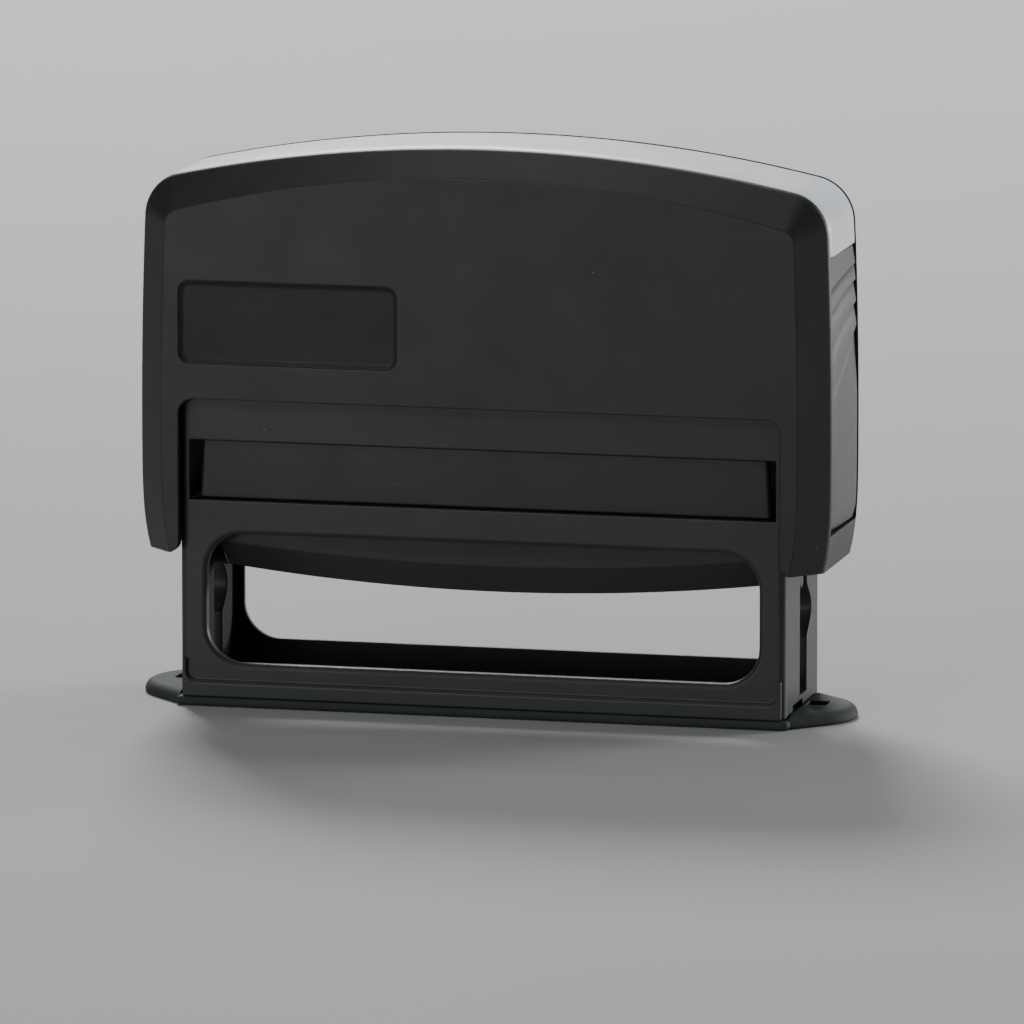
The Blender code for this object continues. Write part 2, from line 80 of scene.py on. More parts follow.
# Cap outline.
CAP_BOTTOM, CAP_TOP = CAP_LOW.z, CAP_HIGH.z
CAP_HALF_WIDTH = 45.9
BELLY_Z = 37.0
FOOT_TUCK = 1.1
SHOULDER_HALF_WIDTH = 45.35
SHOULDER_RADIUS = 6.0
ARCH_RADIUS = 190.0
CAP_HALF_DEPTH = -CAP_LOW.y
RIM_HALF_DEPTH = 8.3
BEVEL = 3.75
PANEL_TOP, PANEL_ARCH_RADIUS, PANEL_CORNER = 70.5, 155.0, 1.8
PANEL_ROUND, RIM_ROUND = 0.0, 1.2
CAP_WALL, HOLLOW_INSET, HOLLOW_BEVEL, HOLLOW_HALF_DEPTH = 1.5, 2.4, 4.4, 8.66
STROKE = 17.0
COVER_THICK = 1.2
COVER_HALF_DEPTH = COVER_HIGH_CORNER.y
COVER_LOW = COVER_LOW_CORNER.z
GRIP_LOW = GRIP_LOW_CORNER.z
CUT_HALF_WIDTH = 39.9
FRONT_CUT_TOP, REAR_CUT_TOP = 40.6, 52.6
CUT_CORNER = 2.0
CUT_DEPTH = 9.8
FOOT_ROUND = 1.5
FOOT_REACH = 9.0
LABEL_DEPTH, RECESS_CORNER, LABEL_CORNER = 0.9, 1.5, 1.2
LABEL_RIM, LABEL_FLOOR, LABEL_DISH, LABEL_STEPS = -0.16, 0.04, 0.8, 6
BUTTON_HOLE_HALF, BUTTON_HOLE_CORNER = (5.8, 3.0), 1.3
BUTTON_HALF, BUTTON_CORNER, BUTTON_ROOT, BUTTON_EDGE = (5.5, 2.7), 1.0, 10.0, 0.4
FLANGE_THICK = 1.1
GROOVE_HALF_LENGTH, GROOVE_HALF_HEIGHT, GROOVE_DEPTH, GROOVE_SPREAD = 4.0, 0.2, 0.25, 1.5

# How far the faces of the cover and the grips fall away from the cap's outline.
CROWN_START, CROWN_EDGE_START = 4.4, 6.6
FRONT_CROWN, REAR_CROWN, GRIP_LEAN = 0.42, 0.06, 0.5
EDGE = ((7.0, 0.0), (7.3, 0.04), (7.48, 0.13), (7.57, 0.26), (COVER_HALF_DEPTH, 0.44))  # (y, drop)

# Frame.
FRAME_HALF_WIDTH = 40.25
FRAME_HALF_DEPTH = 10.25
FRAME_WALL = 1.35
FRAME_LOW = FRAME_LOW_CORNER.z
DECK_LOW, DECK_HIGH = 35.3, 36.8
WINDOW = ((-36.7, 5.65), (36.7, 22.65))
WINDOW_CORNER = 4.8
WINDOW_ROUND = 0.7
FRAME_CORNER = 1.0
FOOT_DROP = 0.2
DRAWER = ((-38.95, 27.05), (38.95, 35.0))
RAIL_Z = (25.7, 26.9)
RAIL_X = 37.3
LINER_X = 38.05
SKIRT_HALF_WIDTH, SKIRT_HALF_DEPTH = 39.75, FRAME_HIGH_CORNER.y
SKIRT_TOP, SKIRT_END_TOP, SKIRT_END, SKIRT_LIP = 3.4, 6.2, 1.5, 0.3
SKIRT_CHAMFER = (0.35, 0.45)  # depth, drop
BRIDGE_INSET, BRIDGE_DROP = 4.4, 0.4
SLOT_BACK, SLOT_BELOW, SLOT_ABOVE, LUG_CLEARANCE = 2.7, 0.9, 0.5, 0.4
FOOT_NOTCH_Y, FOOT_NOTCH_Z = (-5.5, 0.3), (1.0, 2.3)
SPRING_X = 26.0
POST_RADIUS, POST_TOP = 2.3, 45.0

# Base plate.
PLATE_HALF_WIDTH, PLATE_HALF_DEPTH, PLATE_THICK = 40.75, PLATE_HIGH_CORNER.y, 1.2
EAR_THICK, EAR_TIP, EAR_NOSE_RADIUS = PLATE_HIGH_CORNER.z, PLATE_HIGH_CORNER.x, 8.0
PLATE_CORNER, PLATE_EDGE, EAR_CROWN = 0.8, 0.5, 1.3
EAR_FOOT = ((0.0, 0.3), (0.1, 0.1), (0.3, 0.0))  # (z, inset)
EAR_HOLE_X, EAR_HOLE_Y = (40.9, 43.6), (-0.9, 2.3)
PRINT_OPENING = (37.6, 8.4)
THROUGH_PLATE = (-1.0, 3.0)

# Carrier.
AXLE_Z = (PIN_LOW.z + PIN_HIGH.z) / 2
PIN_RADIUS, BORE_RADIUS = 1.2, 1.5
CARRIER_HALF_LENGTH, CARRIER_HALF_WIDTH, CARRIER_TOP = 36.0, 6.5, 1.6
KEEL_DEPTH, KEEL_HALF_WIDTH, KEEL_RADIUS = 7.05, 1.8, 280.0
SKIRT_DEPTH, SKIRT_RADIUS = 3.05, 300.0
CARRIER_ROUNDS = (0.3, 0.5, 0.6)
CAVITY = (34.0, 4.9, 1.3)  # half length, half width, wall below
HUB_RADIUS, HUB_END = 2.6, 37.75
LUG_ARM, LUG_RADIUS = 4.0, 1.1
BORE_DEPTH = 1.6
SLAB_CORNER, SLAB_EDGE = 0.6, 0.12
DIE_BORDER, DIE_FIELD_DEPTH, DIE_FIELD_CORNER = 1.6, 0.55, 0.5

# Ink cartridge.
TRAY_BOTTOM_HALF, TRAY_TOP_HALF = 38.0, 37.6
TRAY_EDGE, TRAY_CORNER = 0.12, 0.5
THUMB_NOTCH = (9.0, 2.15, 1.5)  # half width, half height, depth

# Return springs.
COIL_RADIUS, WIRE_RADIUS, COIL_TURNS = 3.3, 0.45, 8

# The ridges on the grips: three (y, z) points each, from the rear to the front, and how deep the
# face falls below each of them.
SWOOSHES = (
    ((7.0, 58.46), (-0.12, 57.72), (-7.23, 56.47)),
    ((9.74, 56.59), (0.5, 55.35), (-8.62, 52.99)),
    ((9.31, 53.88), (-0.21, 51.56), (-8.49, 47.79)),
    ((9.38, 51.44), (0.71, 47.22), (-7.61, 42.17)),
)
SWOOSH_DEPTHS = (0.18, 0.4, 0.45, 0.45)
LAST_SWOOSH_REACH, RIDGE_HALF_HEIGHT = 9.0, 0.06
GRIP_LIP, GRIP_LIP_HEIGHT = 0.25, 0.3

ARCH_CENTRE_Z = CAP_TOP - ARCH_RADIUS
SHOULDER_X = SHOULDER_HALF_WIDTH - SHOULDER_RADIUS
SHOULDER_Z = ARCH_CENTRE_Z + math.sqrt((ARCH_RADIUS - SHOULDER_RADIUS) ** 2 - SHOULDER_X**2)
BUTTON_MID = (BUTTON_LOW + BUTTON_HIGH) / 2
ARCH_STEPS = 40


# Outlines -----------------------------------------------------------------------------------------


def steps(low, high, count):
    return [low + (high - low) * i / count for i in range(count + 1)]


def half_width(z):
    if z < BELLY_Z:
        return CAP_HALF_WIDTH - FOOT_TUCK * ((BELLY_Z - z) / (BELLY_Z - CAP_BOTTOM)) ** 4
    tuck = CAP_HALF_WIDTH - SHOULDER_HALF_WIDTH
    return CAP_HALF_WIDTH - tuck * ((z - BELLY_Z) / (SHOULDER_Z - BELLY_Z)) ** 2


def arch(radius, half_span, lift):
    lean = math.asin(half_span / radius)
    centre_z = ARCH_CENTRE_Z + lift
    return [(radius * math.sin(a), centre_z + radius * math.cos(a)) for a in steps(lean, -lean, ARCH_STEPS)]


def loaf(low, inset, top, arch_radius, corner):
    """Leaning sides drawn in by inset, round corners and an arch, from the right foot to the left foot."""
    centre_z = top - arch_radius
    corner_x = SHOULDER_HALF_WIDTH - inset - corner
    corner_z = centre_z + math.sqrt((arch_radius - corner) ** 2 - corner_x**2)
    lean = math.asin(corner_x / (arch_radius - corner))
    right = [(half_width(z) - inset, z) for z in steps(low, corner_z, 26)]
    for a in steps(0.0, math.pi / 2 - lean, 14)[1:-1]:
        right.append((corner_x + corner * math.cos(a), corner_z + corner * math.sin(a)))
    over = [
        (arch_radius * math.sin(a), centre_z + arch_radius * math.cos(a))
        for a in steps(lean, -lean, ARCH_STEPS)
    ]
    return right + over + [(-x, z) for x, z in reversed(right)]


def dome(inset, low):
    """The cap's outline drawn in by the same inset all round."""
    return loaf(low, inset, CAP_TOP - inset, ARCH_RADIUS - inset, SHOULDER_RADIUS - inset)


def bevelled(share, low):
    """The cap's outline on its bevel, from the rim (0) to the flat panel (1)."""
    rim = (0.0, CAP_TOP, ARCH_RADIUS, SHOULDER_RADIUS)
    panel = (BEVEL, PANEL_TOP, PANEL_ARCH_RADIUS, PANEL_CORNER)
    return loaf(low, *(a + (b - a) * share for a, b in zip(rim, panel)))


def rounded(low, high, radius, count=8):
    corners = [
        (high[0] - radius, high[1] - radius, 0.0),
        (low[0] + radius, high[1] - radius, 0.5),
        (low[0] + radius, low[1] + radius, 1.0),
        (high[0] - radius, low[1] + radius, 1.5),
    ]
    return [
        (x + radius * math.cos(a * math.pi), y + radius * math.sin(a * math.pi))
        for x, y, start in corners
        for a in steps(start, start + 0.5, count)
    ]


def grown(rectangle, by, radius, count=8):
    (x0, y0), (x1, y1) = rectangle
    return rounded((x0 - by, y0 - by), (x1 + by, y1 + by), max(radius + by, 0.05), count)


def rectangle(low, high):
    return [(low[0], low[1]), (high[0], low[1]), (high[0], high[1]), (low[0], high[1])]


def circle(centre, radius, count=40):
    x, y = centre
    turn = 2 * math.pi / count
    return [(x + radius * math.cos(i * turn), y + radius * math.sin(i * turn)) for i in range(count)]


def offset(outline, by):
    """A closed outline moved outwards by a small distance."""
    points = [Vector(p) for p in outline]
    area = sum(a.x * b.y - a.y * b.x for a, b in zip(points, points[1:] + points[:1]))
    turn = 1.0 if area > 0 else -1.0
    moved = []
    for i, here in enumerate(points):
        before = (here - points[i - 1]).normalized()
        after = (points[(i + 1) % len(points)] - here).normalized()
        first, second = Vector((before.y, -before.x)) * turn, Vector((after.y, -after.x)) * turn
        out = (first + second).normalized()
        moved.append(here + out * by / max(out.dot(first), 0.5))
    return [tuple(p) for p in moved]


def fillet(path, radii, count=6):
    """An open path with its corners rounded. Each inner point has a radius, and 0 keeps the corner."""
    points = [Vector(p) for p in path]
    out = [points[0]]
    for before, here, after, radius in zip(points, points[1:], points[2:], radii):
        if radius == 0:
            out.append(here)
            continue
        a, b = (before - here).normalized(), (after - here).normalized()
        half = a.angle(b) / 2
        reach = radius / math.tan(half)
        centre = here + (a + b).normalized() * radius / math.sin(half)
        start, end = here + a * reach - centre, here + b * reach - centre
        sweep = start.angle_signed(end)
        for share in steps(0.0, 1.0, count):
            turn = -sweep * share
            c, s = math.cos(turn), math.sin(turn)
            out.append(centre + Vector((start.x * c - start.y * s, start.x * s + start.y * c)))
    return [tuple(p) for p in out + [points[-1]]]


# Solids -------------------------------------------------------------------------------------------


def solid(name, points, faces):
    mesh = bpy.data.meshes.new(name)
    mesh.from_pydata([Vector(p) * MM for p in points], [], faces)
    bm = bmesh.new()
    bm.from_mesh(mesh)
    bmesh.ops.recalc_face_normals(bm, faces=bm.faces)
    bm.to_mesh(mesh)
    bm.free()
    item = bpy.data.objects.new(name, mesh)
    bpy.context.scene.collection.objects.link(item)
    return item


def loft(name, rings):
    count = len(rings[0])
    points = [p for ring in rings for p in ring]
    faces = [tuple(range(count)), tuple(range(len(points) - count, len(points)))]
    for start in range(0, len(points) - count, count):
        for i in range(count):
            j = (i + 1) % count
            faces.append((start + i, start + j, start + count + j, start + count + i))
    return solid(name, points, faces)


def layers_y(name, layers):
    return loft(name, [[(x, y, z) for x, z in outline] for y, outline in layers])


def layers_z(name, layers):
    return loft(name, [[(x, y, z) for x, y in outline] for z, outline in layers])


def layers_x(name, layers):
    return loft(name, [[(x, y, z) for y, z in outline] for x, outline in layers])


def prism_x(name, outline, low, high):
    return layers_x(name, [(low, outline), (high, outline)])


def prism_y(name, outline, low, high):
    return layers_y(name, [(low, outline), (high, outline)])


def prism_z(name, outline, low, high):
    return layers_z(name, [(low, outline), (high, outline)])


def box(name, x, y, z):
    return prism_z(name, rectangle((x[0], y[0]), (x[1], y[1])), *z)


def edge_round(low, high, radius, count):
    """(place, inset) pairs along a thickness from low to high whose two edges are round."""
    quarter = steps(0.0, math.pi / 2, count)
    arc = [(radius * (1 - math.cos(a)), radius * (1 - math.sin(a))) for a in quarter]
    return [(low + d, i) for d, i in arc] + [(high - d, i) for d, i in reversed(arc)]


def strip(name, outer, inner, low, high):
    """A band between two open outlines, from low to high along Y."""
    rings = [
        [(o[0], low, o[1]), (o[0], high, o[1]), (i[0], high, i[1]), (i[0], low, i[1])]
        for o, i in zip(outer, inner)
    ]
    return loft(name, rings)


def combine(target, tool, operation):
    change = target.modifiers.new(operation.title(), "BOOLEAN")
    change.operation = operation
    change.object = tool
    graph = bpy.context.evaluated_depsgraph_get()
    result = bpy.data.meshes.new_from_object(target.evaluated_get(graph))
    target.modifiers.clear()
    target.data = result
    bpy.data.objects.remove(tool)


def cut(target, tool):
    combine(target, tool, "DIFFERENCE")


def fuse(target, tool):
    combine(target, tool, "UNION")


def sorted_side(side, a, b):
    return sorted((side * a, side * b))


# Materials ----------------------------------------------------------------------------------------


class Nodes:
    """Short names for building one material's node tree."""

    def __init__(self, name):
        self.material = bpy.data.materials.new(name)
        self.material.use_nodes = True
        self.tree = self.material.node_tree
        self.shader = self.tree.nodes["Principled BSDF"]
        self.place = self.add("ShaderNodeTexCoord").outputs["Object"]

    def add(self, kind, **values):
        node = self.tree.nodes.new(kind)
        for key, value in values.items():
            setattr(node, key, value)
        return node

    def put(self, socket, value):
        if isinstance(value, bpy.types.NodeSocket):
            self.tree.links.new(value, socket)
        elif isinstance(value, tuple) and len(value) == 3 and socket.type == "RGBA":
            socket.default_value = (*value, 1.0)
        else:
            socket.default_value = value

    def noise(self, size, detail=3.0, rough=0.55, place=None):
        """Noise whose features are about that many millimetres wide."""
        node = self.add("ShaderNodeTexNoise")
        self.put(node.inputs["Vector"], place or self.place)
        self.put(node.inputs["Scale"], 1.0 / (size * MM))
        self.put(node.inputs["Detail"], detail)
        self.put(node.inputs["Roughness"], rough)
        return node.outputs["Fac"]

    def stretch(self, scale):
        node = self.add("ShaderNodeMapping")
        self.put(node.inputs["Vector"], self.place)
        node.inputs["Scale"].default_value = scale
        return node.outputs["Vector"]

    def axes(self):
        node = self.add("ShaderNodeSeparateXYZ")
        self.put(node.inputs[0], self.place)
        return node.outputs[0], node.outputs[1], node.outputs[2]

    def span(self, value, low, high, to_low=0.0, to_high=1.0):
        node = self.add("ShaderNodeMapRange")
        self.put(node.inputs["Value"], value)
        for key, number in (("From Min", low), ("From Max", high), ("To Min", to_low), ("To Max", to_high)):
            self.put(node.inputs[key], number)
        return node.outputs["Result"]

    def calc(self, a, b, operation="ADD"):
        node = self.add("ShaderNodeMath", operation=operation)
        self.put(node.inputs[0], a)
        self.put(node.inputs[1], b)
        return node.outputs["Value"]

    def mix(self, share, a, b):
        node = self.add("ShaderNodeMix", data_type="RGBA")
        self.put(node.inputs[0], share)
        self.put(node.inputs[6], a)
        self.put(node.inputs[7], b)
        return node.outputs[2]

    def bevel(self, radius):
        node = self.add("ShaderNodeBevel", samples=6)
        node.inputs["Radius"].default_value = radius * MM
        return node.outputs["Normal"]

    def bump(self, height, strength, distance, normal=None):
        node = self.add("ShaderNodeBump")
        self.put(node.inputs["Height"], height)
        self.put(node.inputs["Strength"], strength)
        self.put(node.inputs["Distance"], distance * MM)
        if normal is not None:
            self.put(node.inputs["Normal"], normal)
        return node.outputs["Normal"]

    def specks(self, size, share):
        """1 on sparse round specks, 0 elsewhere."""
        node = self.add("ShaderNodeTexVoronoi", feature="F1")
        self.put(node.inputs["Vector"], self.place)
        self.put(node.inputs["Scale"], 1.0 / (size * MM))
        self.put(node.inputs["Randomness"], 1.0)
        dot = self.span(node.outputs["Distance"], 0.05, 0.09, 1.0, 0.0)
        split = self.add("ShaderNodeSeparateColor")
        self.put(split.inputs[0], node.outputs["Color"])
        chosen = self.calc(split.outputs[0], share, "LESS_THAN")
        return self.calc(dot, chosen, "MULTIPLY")

    def give(self, **inputs):
        for key, value in inputs.items():
            self.put(self.shader.inputs[key.replace("_", " ")], value)
        return self.material


def shade(colour, factor):
    return tuple(c * factor for c in colour)


def moulded(
    name,
    colour,
    rough,
    grain=0.2,
    depth=0.012,
    edge=0.3,
    dust=0.05,
    vary=0.16,
    wear=0.5,
    gloss=0.2,
    stain_and_painted_shade=None,
    **extra,
):
    """Moulded plastic: a fine spark-eroded grain, faint flow mottling, polished edges and some dust.

    An optional function gives a mask of painted shade, how much of it darkens the colour and how much it
    dulls the surface.
    """
    n = Nodes(name)
    flow = n.span(n.noise(14.0, 2.0), 0.3, 0.7)
    fine = n.noise(grain, 2.0, 0.6)
    tone = n.mix(flow, shade(colour, 1.0 - vary), shade(colour, 1.0 + vary))
    tone = n.mix(n.span(fine, 0.35, 0.65, 0.0, 0.35), tone, shade(colour, 1.35))
    dusty = n.specks(1.7, dust * 0.4)
    tone = n.mix(n.calc(dusty, 0.35, "MULTIPLY"), tone, (0.32, 0.32, 0.31))
    soft = n.bevel(edge)
    geometry = n.add("ShaderNodeNewGeometry")
    turn = n.add("ShaderNodeVectorMath", operation="DOT_PRODUCT")
    n.put(turn.inputs[0], soft)
    n.put(turn.inputs[1], geometry.outputs["Normal"])
    worn = n.span(turn.outputs["Value"], 0.995, 0.9, 0.0, wear)
    polish = n.span(turn.outputs["Value"], 0.999, 0.96, 0.0, rough - gloss)
    tone = n.mix(worn, tone, shade(colour, 1.7))
    smear = n.span(n.noise(7.0, 2.0), 0.1, 0.9, -0.05, 0.07)
    roughness = n.calc(n.calc(rough, smear), polish, "SUBTRACT")
    # Painted shade: the colour darkens under the mask, and the surface is duller there.
    if stain_and_painted_shade:
        painted_shade_mask, amount, dullness = stain_and_painted_shade(n)
        tone = n.mix(n.calc(painted_shade_mask, amount, "MULTIPLY"), tone, shade(colour, 0.12))
        roughness = n.calc(roughness, n.calc(painted_shade_mask, dullness, "MULTIPLY"))
    height = n.calc(fine, n.calc(n.noise(grain * 2.6, 1.0), 0.5, "MULTIPLY"))
    return n.give(Base_Color=tone, Roughness=roughness, Normal=n.bump(height, 0.6, depth, soft), **extra)


def painted_shade_inside_frame(n):
    """Painted shade on the inner walls of the frame, which lie in shadow: a darker colour and a duller
    surface there.
    """
    x, y, _ = n.axes()
    side = n.calc(x, 0.0, "ABSOLUTE")
    across = n.span(side, (LINER_X + 0.1) * MM, (LINER_X + 0.2) * MM, 1.0, 0.0)
    depth = n.calc(y, 0.0, "ABSOLUTE")
    deep = n.span(depth, (FRAME_HALF_DEPTH - 1.3) * MM, (FRAME_HALF_DEPTH - 0.9) * MM, 1.0, 0.0)
    return n.calc(across, deep, "MULTIPLY"), 0.9, 0.35


def painted_shade_under_swooshes(n):
    """Painted shade just below each ridge of a grip, fading downwards."""
    _, y, z = n.axes()
    total = None
    for (a, p), (b, q), (c, r) in SWOOSHES:
        bend = ((r - p) / (c - a) - (q - p) / (b - a)) / (c - b)
        slope = (q - p) / (b - a) - bend * (a + b)
        base = p - slope * a - bend * a * a
        line = n.calc(n.calc(n.calc(y, bend / MM, "MULTIPLY"), slope, "ADD"), y, "MULTIPLY")
        below = n.calc(n.calc(line, base * MM), z, "SUBTRACT")
        fade = n.span(below, 0.0, 3.2 * MM, 1.0, 0.0)
        start = n.span(below, -0.08 * MM, 0.08 * MM, 0.0, 1.0)
        mark = n.calc(n.calc(fade, 2.0, "POWER"), start, "MULTIPLY")
        total = mark if total is None else n.calc(total, mark, "MAXIMUM")
    return total, 0.75, 0.5


def steel(name, colour, rough, along=(1.0, 1.0, 1.0)):
    n = Nodes(name)
    lines = n.noise(0.25, 3.0, 0.6, n.stretch(along))
    tone = n.mix(n.span(lines, 0.3, 0.7), shade(colour, 0.75), colour)
    stain_and_painted_shade = n.span(n.noise(3.0), 0.5, 0.8)
    tone = n.mix(n.calc(stain_and_painted_shade, 0.3, "MULTIPLY"), tone, shade(colour, 0.45))
    return n.give(
        Base_Color=tone,
        Metallic=1.0,
        Roughness=n.span(lines, 0.3, 0.7, rough - 0.06, rough + 0.12),
        Normal=n.bump(lines, 0.3, 0.01, n.bevel(0.12)),
    )


def felt_material():
    n = Nodes("felt_look")
    fibres = n.noise(0.14, 5.0, 0.75, n.stretch((1.0, 1.0, 2.5)))
    wet = n.span(n.noise(9.0), 0.35, 0.65)
    tone = n.mix(fibres, (0.006, 0.006, 0.012), (0.03, 0.03, 0.045))
    return n.give(
        Base_Color=tone,
        Roughness=n.span(wet, 0.0, 1.0, 0.55, 0.95),
        Sheen_Weight=0.35,
        Normal=n.bump(fibres, 1.0, 0.12),
    )


def foam_material():
    n = Nodes("foam_look")
    cells = n.add("ShaderNodeTexVoronoi", feature="F1")
    n.put(cells.inputs["Vector"], n.place)
    n.put(cells.inputs["Scale"], 1.0 / (0.35 * MM))
    tone = n.mix(cells.outputs["Distance"], (0.12, 0.12, 0.125), (0.26, 0.26, 0.27))
    return n.give(Base_Color=tone, Roughness=0.92, Normal=n.bump(cells.outputs["Distance"], 0.8, 0.1))


def rubber_material():
    n = Nodes("rubber_look")
    fine = n.noise(0.12, 4.0, 0.7)
    ink = n.span(n.noise(6.0, 4.0), 0.42, 0.6)
    tone = n.mix(n.calc(ink, 0.75, "MULTIPLY"), (0.085, 0.085, 0.09), (0.02, 0.02, 0.025))
    return n.give(
        Base_Color=tone,
        Roughness=n.span(ink, 0.0, 1.0, 0.78, 0.5),
        Normal=n.bump(fine, 0.5, 0.03, n.bevel(0.15)),
    )


CAP_BLACK = (0.02, 0.0222, 0.0222)
SOFT = {"Specular_IOR_Level": 0.3}
black = moulded("cap_black", CAP_BLACK, 0.43, **SOFT)
# The frame's inner walls get painted shade.
frame_black = moulded("frame_black", shade(CAP_BLACK, 1.45), 0.45, stain_and_painted_shade=painted_shade_inside_frame, **SOFT)
base_black = moulded("base_black", (0.035, 0.041, 0.043), 0.72, gloss=0.5, Specular_IOR_Level=0.2)
carrier_black = moulded("carrier_black", shade(CAP_BLACK, 1.5), 0.5, **SOFT)
tray_black = moulded("tray_black", (0.016, 0.018, 0.019), 0.4, depth=0.005, **SOFT)
silver = moulded(
    "cover_silver",
    (0.6, 0.635, 0.675),
    0.36,
    depth=0.004,
    vary=0.04,
    dust=0.02,
    wear=0.15,
    edge=0.25,
)
# The grips get painted shade below each ridge.
grip_grey = moulded(
    "grip_grey",
    (0.018, 0.021, 0.026),
    0.3,
    depth=0.004,
    vary=0.08,
    edge=0.12,
    wear=0.1,
    stain_and_painted_shade=painted_shade_under_swooshes,
)
inner_grey = moulded("inner_grey", (0.11, 0.115, 0.12), 0.5)
button_grey = moulded("button_grey", (0.12, 0.13, 0.142), 0.36, edge=0.2)
film = moulded(
    "label_gloss",
    (0.0135, 0.014, 0.0148),
    0.42,
    Specular_IOR_Level=0.22,
    depth=0.002,
    dust=0.08,
    vary=0.1,
    wear=0.2,
    edge=0.15,
)
wire = steel("wire_steel", (0.52, 0.53, 0.55), 0.26)
ground = steel("pin_steel_look", (0.6, 0.61, 0.62), 0.2, (0.3, 4.0, 4.0))
felt = felt_material()
foam = foam_material()
rubber = rubber_material()


def dress(item, look, body=None, stands_for=(), angle=32.0, weighted=True):
    """Gives a new piece its shading, look and body, and hides the CAD nodes it stands for."""
    item.data.materials.clear()
    item.data.materials.append(look)
    item.data.shade_smooth()
    item.data.set_sharp_from_angle(angle=math.radians(angle))
    if weighted:
        modifier = item.modifiers.new("Weighted", "WEIGHTED_NORMAL")
        modifier.keep_sharp = True
        modifier.weight = 80
    if body:
        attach(item, body)
    if stands_for:
        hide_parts(*stands_for)
    return item


# Cap ----------------------------------------------------------------------------------------------


def around_button(half):
    """A rectangle in X and Z round the middle of the button, from its half width and half height."""
    x, z = half
    return ((BUTTON_MID.x - x, BUTTON_MID.z - z), (BUTTON_MID.x + x, BUTTON_MID.z + z))


def cap_skin():
    panel = [(-CAP_HALF_DEPTH, BEVEL + 1.2), (-CAP_HALF_DEPTH, BEVEL), (-RIM_HALF_DEPTH, 0.0), (-6.0, 0.0)]
    profile = fillet(panel, (PANEL_ROUND, RIM_ROUND), 7)[1:-1]
    profile += [(-y, inset) for y, inset in reversed(profile)]
    item = layers_y("cap_skin", [(y, bevelled(inset / BEVEL, CAP_BOTTOM)) for y, inset in profile])
    wall = CAP_HALF_DEPTH - CAP_WALL
    half_inside = [(wall, HOLLOW_BEVEL), (HOLLOW_HALF_DEPTH, HOLLOW_INSET)]
    inside = [(-y, inset) for y, inset in half_inside] + half_inside[::-1]
    cut(item, layers_y("hollow", [(y, dome(inset, CAP_BOTTOM - 1.0)) for y, inset in inside]))
    depth, low = COVER_HALF_DEPTH + GAP, GRIP_LOW - GAP
    cut(item, strip("channel", dome(-1.0, low), dome(COVER_THICK + GAP, low), -depth, depth))
    sole = CAP_BOTTOM - 0.001
    for top, places in ((FRONT_CUT_TOP, (-OUTSIDE, -CUT_DEPTH)), (REAR_CUT_TOP, (CUT_DEPTH, OUTSIDE))):
        foot = [(CUT_HALF_WIDTH + FOOT_REACH, sole), (CUT_HALF_WIDTH, sole)]
        half = fillet([*foot, (CUT_HALF_WIDTH, top), (0.0, top)], (FOOT_ROUND, CUT_CORNER), 8)[1:-1]
        half = [(half[0][0], CAP_BOTTOM - 3.0), *half]
        outline = half + [(-x, z) for x, z in reversed(half)]
        cut(item, prism_y("opening", outline, *places))
    floor = -CAP_HALF_DEPTH + LABEL_DEPTH
    recess = ((LABEL_LOW.x - GAP, LABEL_LOW.z - GAP), (LABEL_HIGH.x + GAP, LABEL_HIGH.z + GAP))
    cut(item, prism_y("recess", grown(recess, 0.0, RECESS_CORNER), -OUTSIDE, floor))
    hole = around_button(BUTTON_HOLE_HALF)
    cut(item, prism_y("button_hole", grown(hole, 0.0, BUTTON_HOLE_CORNER), CUT_DEPTH, OUTSIDE))
    return dress(item, black, "cap", ["cap_shell"])


def fall(y):
    """How far a cover's face falls away at y: crowned and round at its front, nearly flat to the rear."""
    reach = max(0.0, (abs(y) - CROWN_START) / (COVER_HALF_DEPTH - CROWN_START))
    drop = dict(EDGE).get(abs(y), 0.0)
    return FRONT_CROWN * reach**2.6 + drop if y < 0 else REAR_CROWN * reach**2 + 0.5 * drop


def belly(y):
    """How far a grip's face leans away towards the front."""
    return GRIP_LEAN * ((COVER_HALF_DEPTH - y) / (2 * COVER_HALF_DEPTH)) ** 1.6


def across(count):
    """Places from a cover's front edge to its rear edge, close together at both edges."""
    half = steps(0.0, CROWN_EDGE_START, count) + [y for y, _ in EDGE]
    return [-y for y in reversed(half[1:])] + half


def cover_skin():
    section = [(y, fall(y)) for y in across(9)]
    section = [(-COVER_HALF_DEPTH, COVER_THICK), *section, (COVER_HALF_DEPTH, COVER_THICK)]
    outlines = [dome(inset, COVER_LOW) for _, inset in section]
    count = len(outlines[0])
    rings = [[(o[i][0], y, o[i][1]) for (y, _), o in zip(section, outlines)] for i in range(count)]
    return dress(loft("cover_skin", rings), silver, "cap", ["top_cover"])


def swoosh(points, y):
    """The height of a swoosh ridge at y, on the parabola through its three points."""
    (a, p), (b, q), (c, r) = points
    return (
        p * (y - b) * (y - c) / ((a - b) * (a - c))
        + q * (y - a) * (y - c) / ((b - a) * (b - c))
        + r * (y - a) * (y - b) / ((c - a) * (c - b))
    )


